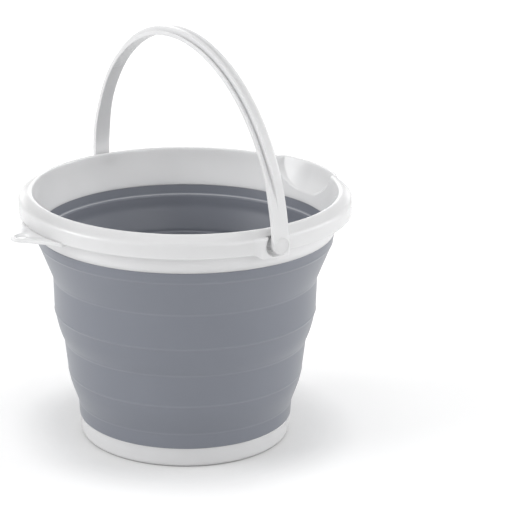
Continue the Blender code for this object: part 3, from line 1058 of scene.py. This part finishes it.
@dataclass
class HangingEar:
    """The flat ear under the skirt's edge, with its round hole."""

    skirt_r: float
    skirt_low_z: float
    collar_r: float
    wall: float = 0.0034
    lap: float = 0.0006
    hole_r: float = 0.0062
    tip_r: float = 0.0102
    half_degrees: float = 14.5
    side_sag: float = 0.0008
    edge_cut: float = 0.0008
    sharp_angle: float = 1.0
    hole_points: int = 72
    tip_steps: int = 32
    side_steps: int = 12

    def __post_init__(self) -> None:
        """Find the middle of the round tip."""
        self.tip_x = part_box("rim_frame")[0].x + self.tip_r

    def build(self, material: bpy.types.Material) -> None:
        """Make the ear from its outline and its hole.

        Args:
            material: the rim's finish.
        """
        shape = bmesh.new()
        angles = [math.tau * step / self.hole_points for step in range(self.hole_points)]
        hole = [
            (self.tip_x + self.hole_r * math.cos(angle), self.hole_r * math.sin(angle))
            for angle in angles
        ]
        loops = []
        for ring in (self.outline(), hole):
            loops += closed_loop(shape, [(x, y, 0) for x, y in ring])[1]
        bmesh.ops.triangle_fill(shape, use_beauty=True, edges=loops, normal=(0, 0, 1))
        inner = [edge for edge in shape.edges if not edge.is_boundary]
        bmesh.ops.dissolve_limit(shape, angle_limit=0.01, verts=shape.verts, edges=inner)
        raised = bmesh.ops.extrude_face_region(shape, geom=shape.faces[:])
        tops = only(raised["geom"], bmesh.types.BMVert)
        bmesh.ops.translate(shape, verts=tops, vec=(0, 0, self.wall))
        bmesh.ops.recalc_face_normals(shape, faces=shape.faces)
        level = [
            edge
            for edge in shape.edges
            if len(edge.link_faces) == 2
            and edge.calc_face_angle() > self.sharp_angle
            and abs(edge.verts[0].co.z - edge.verts[1].co.z) < MERGE_GAP
        ]
        bmesh.ops.bevel(
            shape,
            geom=level,
            offset=self.edge_cut,
            segments=3,
            profile=0.5,
            affect="EDGES",
            material=-1,
            clamp_overlap=True,
        )
        low = self.skirt_low_z + self.lap - self.wall
        bmesh.ops.translate(shape, verts=shape.verts, vec=(0, 0, low))
        ear = add_piece("hanging_ear", shape, material, smooth_degrees=50)
        settle(ear, Body.RIM, "rim_plastic", "rim_frame")

    def outline(self) -> list[Point]:
        """Draw the ear from above: round tip, hollow sides, root in the collar.

        Returns:
            The closed outline.
        """
        half = math.radians(self.half_degrees)
        tip = Vector((self.tip_x, 0))
        corner = Vector((-self.skirt_r * math.cos(half), self.skirt_r * math.sin(half)))
        to_tip = tip - corner
        turn_in = math.asin(self.tip_r / to_tip.length) + math.pi / 2
        start = math.tau + math.atan2(to_tip.y, to_tip.x) - turn_in
        round_tip = [
            (tip.x + self.tip_r * math.cos(angle), self.tip_r * math.sin(angle))
            for angle in spread(start, math.tau - start, self.tip_steps)
        ]
        along = Vector(round_tip[0]) - corner
        inward = Vector((along.y, -along.x)).normalized()
        side = []
        for share in spread(0, 1, self.side_steps)[:-1]:
            sag = self.side_sag * (1 - (2 * share - 1) ** 2)
            place = corner + along * share - inward * sag
            side.append((place.x, place.y))
        root = [
            (-self.collar_r * math.cos(angle), self.collar_r * math.sin(angle))
            for angle in spread(-half, half, self.side_steps)
        ]
        return root + side + round_tip + [(x, -y) for x, y in reversed(side)]


@dataclass
class BasePan:
    """The hard base pan: rounded foot, low wall, stepped floor and arched finger grip."""

    wall: float = 0.0030
    foot_flare: float = 0.0026
    foot_cut: float = 0.0034
    floor_wall: float = 0.0026
    floor_step_h: float = 0.0016
    floor_step_w: float = 0.0070
    edge_cut: float = 0.0009
    row_w: float = 0.0014
    grip_middle_r: float = 0.0720
    grip_half_w: float = 0.0120
    grip_slope_w: float = 0.0046
    grip_h: float = 0.0104
    grip_half_degrees: float = 37.0
    grip_top_share: float = 1.1
    strips: int = 25

    def build(self) -> None:
        """Make the base pan."""
        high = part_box("base")[1]
        top_r, top_z = high.x, high.z + SEAM_GAP / 2
        foot_r = top_r - self.foot_flare
        step_z = self.floor_wall + self.floor_step_h
        inner_foot_r = foot_r - self.wall
        step_r = inner_foot_r - self.floor_step_w
        centre_r = self.row_w
        corners = [
            Corner(centre_r, 0),
            Corner(foot_r, 0, self.foot_cut),
            Corner(top_r, top_z, self.edge_cut),
            Corner(top_r - self.wall, top_z, self.edge_cut),
            Corner(inner_foot_r, step_z, self.foot_cut),
            Corner(step_r, step_z, self.edge_cut),
            Corner(step_r - self.floor_step_h, self.floor_wall, self.edge_cut),
            Corner(centre_r, self.floor_wall),
        ]
        section = densify(soften(corners, FINE_CORNER_STEPS), self.row_w)
        shape = turn(section, [Sweep(360, self.strips)])
        self.close_centre(shape)
        self.raise_grip(shape)
        pan = add_piece("base_pan", shape, HardPlastic("base_plastic").material())
        settle(pan, Body.BASE, "base_plastic", "base")

    def close_centre(self, shape: bmesh.types.BMesh) -> None:
        """Fill the small hole that the turn leaves around Z, above and below.

        Args:
            shape: the turned pan.
        """
        reach = self.row_w + MERGE_GAP
        inside = [
            face
            for face in shape.faces
            if all(from_axis(corner.co) < reach for corner in face.verts)
        ]
        bmesh.ops.delete(shape, geom=inside, context="FACES")
        edges = [edge for edge in shape.edges if edge.is_boundary]
        bmesh.ops.holes_fill(shape, edges=edges, sides=0)
        bmesh.ops.recalc_face_normals(shape, faces=shape.faces)

    def raise_grip(self, shape: bmesh.types.BMesh) -> None:
        """Press the arched finger grip up into the floor, hollow from below, on the ear's side.

        Args:
            shape: the closed pan.
        """
        for corner in shape.verts:
            place = corner.co
            if place.z <= self.floor_wall * self.grip_top_share:
                place.z += self.grip_h * self.grip_share(place.x, place.y)

    def grip_share(self, x: float, y: float) -> float:
        """Find how far the grip has risen at a place on the floor.

        Args:
            x: the place along X.
            y: the place along Y.

        Returns:
            A share of the grip's height.
        """
        half = math.radians(self.grip_half_degrees) - self.grip_half_w / self.grip_middle_r
        angle = math.atan2(y, -x)
        held = min(max(angle, -half), half)
        middle = Vector((-self.grip_middle_r * math.cos(held), self.grip_middle_r * math.sin(held)))
        distance = (Vector((x, y)) - middle).length
        return eased((self.grip_half_w - distance) / self.grip_slope_w)


@dataclass(frozen=True)
class Station:
    """A place along the handle: angle from the crest, drop below the pivot, width, rib share."""

    angle: float
    below: float
    width: float
    rib_share: float


@dataclass
class Handle:
    """The bail handle: a stepped, ribbed arch whose ends go flat and round at the pivots."""

    PLACE = "place"

    strap_wall: float = 0.0050
    strap_w: float = 0.0162
    strap_cut: float = 0.0007
    arch_w: float = 0.0138
    arch_wall: float = 0.0080
    edge_wall: float = 0.0044
    crest_ledge_w: float = 0.0033
    side_ledge_w: float = 0.0043
    end_ledge_w: float = 0.0058
    ledge_sag: float = 0.0009
    ledge_bend: float = 0.4
    groove_w: float = 0.0010
    groove_depth: float = 0.0022
    flank_w: float = 0.0004
    crest_ridge_w: float = 0.0044
    side_ridge_w: float = 0.0015
    narrow_degrees: float = 45
    drift_start_degrees: float = 58
    drift_end_degrees: float = 76
    channel_depth: float = 0.0022
    channel_rise: float = 0.3
    channel_start_degrees: float = 36
    channel_end_degrees: float = 62
    far_rib_w: float = 0.0016
    far_drop: float = 0.0004
    small_cut: float = 0.0004
    edge_cut: float = 0.0008
    rib_start_degrees: float = 79
    rib_full_degrees: float = 64
    strap_face_y: float = 0.1634
    rise: float = 0.1606
    lean_degrees: float = 2.2
    arch_steps: int = 168
    end_steps: int = 12
    end_close_degrees: float = 86
    rivet_hole_r: float = 0.00724
    rivet_sink: float = 0.0016

    def build(self) -> None:
        """Make the handle from one section drawn at each station."""
        shape = bmesh.new()
        stations = self.stations()
        sections = [self.section(station) for station in stations]
        layer = shape.verts.layers.int.new(self.PLACE)
        corners, edges = closed_loop(shape, [(across, out, 0) for across, out in sections[0]])
        for index, corner in enumerate(corners):
            corner[layer] = index
        bmesh.ops.contextual_create(shape, geom=edges)
        for _ in stations[1:]:
            grown = bmesh.ops.extrude_edge_only(shape, edges=edges)["geom"]
            edges = only(grown, bmesh.types.BMEdge)
            bmesh.ops.translate(shape, verts=only(grown, bmesh.types.BMVert), vec=(0, 0, 1))
        bmesh.ops.contextual_create(shape, geom=edges)
        for corner in shape.verts:
            step = round(corner.co.z)
            corner.co = self.placed(stations[step], sections[step][corner[layer]])
        lean = Matrix.Rotation(-math.radians(self.lean_degrees), 3, "Y")
        bmesh.ops.rotate(shape, verts=shape.verts, cent=(0, 0, 0), matrix=lean)
        bmesh.ops.translate(shape, verts=shape.verts, vec=(0, 0, pivot_height()))
        bmesh.ops.remove_doubles(shape, verts=shape.verts, dist=MERGE_GAP)
        bmesh.ops.recalc_face_normals(shape, faces=shape.faces)
        material = HardPlastic("handle_plastic", roughness=0.26, translucency=0.15).material()
        handle = add_piece("bail_handle", shape, material, smooth_degrees=40)
        self.sink_rivets(handle)
        settle(handle, Body.HANDLE, "handle_plastic", "handle")

    def sink_rivets(self, handle: bpy.types.Object) -> None:
        """Cut the round sink for a rivet head into each end.

        Args:
            handle: the finished handle.
        """
        depth = self.strap_wall
        middle_y = self.strap_face_y + self.strap_wall + depth / 2 - self.rivet_sink
        for side in Side:
            cutter = bmesh.new()
            place = Matrix.Translation((0, side.value * middle_y, pivot_height()))
            bmesh.ops.create_cone(
                cutter,
                cap_ends=True,
                segments=96,
                radius1=self.rivet_hole_r,
                radius2=self.rivet_hole_r,
                depth=depth,
                matrix=place @ Matrix.Rotation(math.pi / 2, 4, "X"),
            )
            cut_away(handle, cutter)

    def section(self, station: Station) -> list[Point]:
        """Draw the handle's section at a station.

        Args:
            station: the place along the handle.

        Returns:
            The closed section as (across, outward) points, the same number everywhere.
        """
        away = math.degrees(abs(station.angle))
        half = self.arch_w / 2
        narrowed = eased(away / self.narrow_degrees)
        drift = eased_between(away, self.drift_start_degrees, self.drift_end_degrees)
        fade = eased_between(away, self.channel_start_degrees, self.channel_end_degrees)
        ledge_w = mix(mix(self.crest_ledge_w, self.side_ledge_w, narrowed), self.end_ledge_w, drift)
        ledge = -half + ledge_w
        ridge_end = ledge + self.flank_w + mix(self.crest_ridge_w, self.side_ridge_w, narrowed)
        channel = self.arch_wall - self.channel_depth * (1 - fade)
        groove = self.edge_wall - self.groove_depth
        sag = self.edge_wall - self.ledge_sag
        bend = (mix(-half, ledge, self.ledge_bend), self.edge_wall - self.ledge_sag / 3)
        far = half - self.far_rib_w
        hollow = (mix(ridge_end, far, 0.5), mix(channel, self.arch_wall, self.channel_rise))
        rows = (
            (-half, 0.0, self.edge_cut),
            (-half, self.edge_wall, self.edge_cut),
            (*bend, self.edge_cut),
            (ledge - self.groove_w, sag, self.edge_cut),
            (ledge - self.groove_w / 2, groove, self.small_cut),
            (ledge, groove, self.small_cut),
            (ledge + self.flank_w, self.arch_wall, self.small_cut),
            (ridge_end, self.arch_wall, self.small_cut),
            (ridge_end + self.flank_w, channel, self.small_cut),
            (*hollow, self.edge_cut),
            (far, self.arch_wall, self.edge_cut),
            (half, self.arch_wall - self.far_drop, self.edge_cut),
            (half, 0.0, self.edge_cut),
        )
        corners = [
            Corner(
                across * station.width / self.arch_w,
                mix(self.strap_wall if out else 0.0, out, station.rib_share),
                mix(self.strap_cut, cut, station.rib_share),
            )
            for across, out, cut in rows
        ]
        return soften(corners)

    def stations(self) -> list[Station]:
        """List the stations along the handle.

        Returns:
            The stations from the front end to the back end.
        """
        end_r = self.strap_w / 2
        front_end = [
            Station(math.pi / 2, end_r * math.sin(angle), self.strap_w * math.cos(angle), 0.0)
            for angle in spread(math.radians(self.end_close_degrees), 0, self.end_steps)[:-1]
        ]
        arch = []
        start, full = math.radians(self.rib_start_degrees), math.radians(self.rib_full_degrees)
        for angle in spread(math.pi / 2, -math.pi / 2, self.arch_steps):
            rib_share = eased_between(abs(angle), start, full)
            arch.append(Station(angle, 0.0, mix(self.strap_w, self.arch_w, rib_share), rib_share))
        back_end = [Station(-math.pi / 2, end.below, end.width, 0.0) for end in reversed(front_end)]
        return front_end + arch + back_end

    def placed(self, station: Station, point: Point) -> Vector:
        """Place one point of a section on the arch.

        Args:
            station: the place along the handle.
            point: the point as across and outward.

        Returns:
            Its place, measured from the pivot line.
        """
        turned = Vector((0, -math.sin(station.angle), math.cos(station.angle)))
        foot = Vector((0, self.strap_face_y * turned.y, self.rise * turned.z - station.below))
        outward = Vector((0, turned.y / self.strap_face_y, turned.z / self.rise)).normalized()
        return foot + Vector((point[0], 0, 0)) + outward * point[1]


@dataclass
class Rivet:
    """A pivot rivet: a flush, slightly dished head, a shank and a barb behind the pad."""

    side: Side
    head_r: float = 0.0072
    head_h: float = 0.0013
    head_drop: float = 0.00012
    head_dish: float = 0.0001
    head_cut: float = 0.00015
    dish_start: float = 0.82
    dish_end: float = 0.74
    shank_r: float = 0.0034
    barb_r: float = 0.0052
    barb_h: float = 0.0015
    centre_gap: float = 0.00004
    strips: int = 8

    def build(self) -> None:
        """Turn the rivet and lay it along the pivot line."""
        name = f"pivot_rivet_{self.side.name.lower()}"
        low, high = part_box(name)
        ends = sorted((abs(low.y), abs(high.y)))
        barb_y = ends[0] + self.barb_h
        head_y = Handle.strap_face_y + Handle.strap_wall - self.head_drop
        corners = [
            Corner(MERGE_GAP, ends[0]),
            Corner(self.shank_r, ends[0], self.head_cut),
            Corner(self.barb_r, barb_y, self.head_cut),
            Corner(self.shank_r, barb_y),
            Corner(self.shank_r, head_y - self.head_h),
            Corner(self.head_r, head_y - self.head_h, self.head_cut),
            Corner(self.head_r, head_y, self.head_cut),
            Corner(self.head_r * self.dish_start, head_y, self.head_cut),
            Corner(self.head_r * self.dish_end, head_y - self.head_dish, self.head_cut),
            Corner(MERGE_GAP, head_y - self.head_dish),
        ]
        shape = turn(soften(corners), [Sweep(360, self.strips)])
        bmesh.ops.remove_doubles(shape, verts=shape.verts, dist=self.centre_gap)
        lay = Matrix.Rotation(-self.side.value * math.pi / 2, 3, "X")
        bmesh.ops.rotate(shape, verts=shape.verts, matrix=lay)
        bmesh.ops.translate(shape, verts=shape.verts, vec=(0, 0, pivot_height()))
        bmesh.ops.recalc_face_normals(shape, faces=shape.faces)
        material = HardPlastic(f"{name}_plastic", roughness=0.30, translucency=0.15).material()
        piece = add_piece(f"{name}_head", shape, material)
        settle(piece, Body.RIM, "rivet_plastic", name)


@dataclass(frozen=True)
class Lamp:
    """A soft rectangular lamp: its name, place, width, height and power in watts."""

    name: str
    place: tuple[float, float, float]
    width: float
    height: float
    power: float


@dataclass
class Studio:
    """A pale floor, soft even light and the photograph's camera."""

    distance: float = 2.000
    eye_z: float = 0.8327
    azimuth_degrees: float = -31.0
    pitch_degrees: float = 18.24
    lens: float = 150.4
    sensor: float = 36.0
    shift_x: float = 0.1438
    floor_size: float = 12.0
    lit_z: float = 0.2
    world_strength: float = 0.51
    floor_glow: float = 0.19
    open_floor: Colour = (0.94, 0.94, 0.94)
    shaded_floor: Colour = (0.44, 0.44, 0.44)
    shade_reach: float = 0.075
    lamps: tuple[Lamp, ...] = (
        Lamp("lamp_front", (0.2, -2.35, 1.1), 1.6, 1.0, 13.5),
        Lamp("lamp_left", (-2.2, 0.7, 1.1), 1.6, 1.0, 30.0),
        Lamp("lamp_right", (2.1, -0.9, 1.1), 1.6, 1.0, 17.0),
        Lamp("lamp_back", (1.35, 2.3, 0.95), 2.4, 1.0, 11.0),
        Lamp("lamp_top", (0.0, 0.0, 2.9), 1.8, 1.8, 8.0),
    )

    def build(self) -> None:
        """Make the floor, the world, the lamps and the camera."""
        self.add_floor()
        self.add_world()
        for lamp in self.lamps:
            self.add_lamp(lamp)
        self.add_camera()

    def add_floor(self) -> None:
        """Add a white floor that keeps the bucket's shadow, with a painted shadow that darkens its
        colour and glow where the bucket is near.
        """
        shape = bmesh.new()
        bmesh.ops.create_grid(shape, x_segments=1, y_segments=1, size=self.floor_size / 2)
        bench = Bench(bpy.data.materials.new("pale_floor"))
        reach = {"Distance": self.shade_reach}
        # Painted shadow: ambient occlusion darkens the floor's colour towards the shaded tone and
        # dims its glow near the bucket.
        open_share = bench.node("ShaderNodeAmbientOcclusion", {}, reach, "AO")
        bench.feed(
            Base_Color=bench.colours(open_share, self.shaded_floor, self.open_floor),
            Roughness=0.9,
            Emission_Color=bench.colours(open_share, BLACK, WHITE),
            Emission_Strength=bench.seen() * self.floor_glow,
        )
        add_piece("floor", shape, bench.owner)

    def add_world(self) -> None:
        """Light the scene evenly, and show white behind it."""
        bench = Bench(bpy.data.worlds.new("white_studio"), "Background")
        strength = bench.seen() * (1 - self.world_strength) + self.world_strength
        bench.feed(Color=(*WHITE, 1.0), Strength=strength)
        bpy.context.scene.world = bench.owner

    def add_lamp(self, lamp: Lamp) -> None:
        """Add a soft lamp that faces the bucket and isn't seen itself.

        Args:
            lamp: the lamp.
        """
        data = bpy.data.lights.new(lamp.name, "AREA")
        data.shape = "RECTANGLE"
        data.size, data.size_y = lamp.width, lamp.height
        data.energy = lamp.power
        hung = bpy.data.objects.new(lamp.name, data)
        hung.location = lamp.place
        hung.visible_camera = False
        to_bucket = Vector((0, 0, self.lit_z)) - Vector(lamp.place)
        hung.rotation_euler = to_bucket.to_track_quat("-Z", "Y").to_euler()
        bpy.context.scene.collection.objects.link(hung)

    def add_camera(self) -> None:
        """Add the camera at the photograph's viewing angle."""
        data = bpy.data.cameras.new("photo_camera")
        data.sensor_width = self.sensor
        data.lens = self.lens
        data.shift_x = self.shift_x
        camera = bpy.data.objects.new("photo_camera", data)
        azimuth = math.radians(self.azimuth_degrees)
        camera.location = (
            self.distance * math.sin(azimuth),
            -self.distance * math.cos(azimuth),
            self.eye_z,
        )
        camera.rotation_euler = (math.radians(90 - self.pitch_degrees), 0, azimuth)
        bpy.context.scene.collection.objects.link(camera)
        bpy.context.scene.camera = camera


def main() -> None:
    """Build every piece in order, then the studio."""
    logging.basicConfig(level=logging.INFO, format="%(message)s")
    BasePan().build()
    SoftWall().build()
    Rim().build()
    Handle().build()
    for side in Side:
        Rivet(side).build()
    Studio().build()
    bpy.context.scene.view_settings.view_transform = "Standard"


if __name__ == "__main__":
    main()
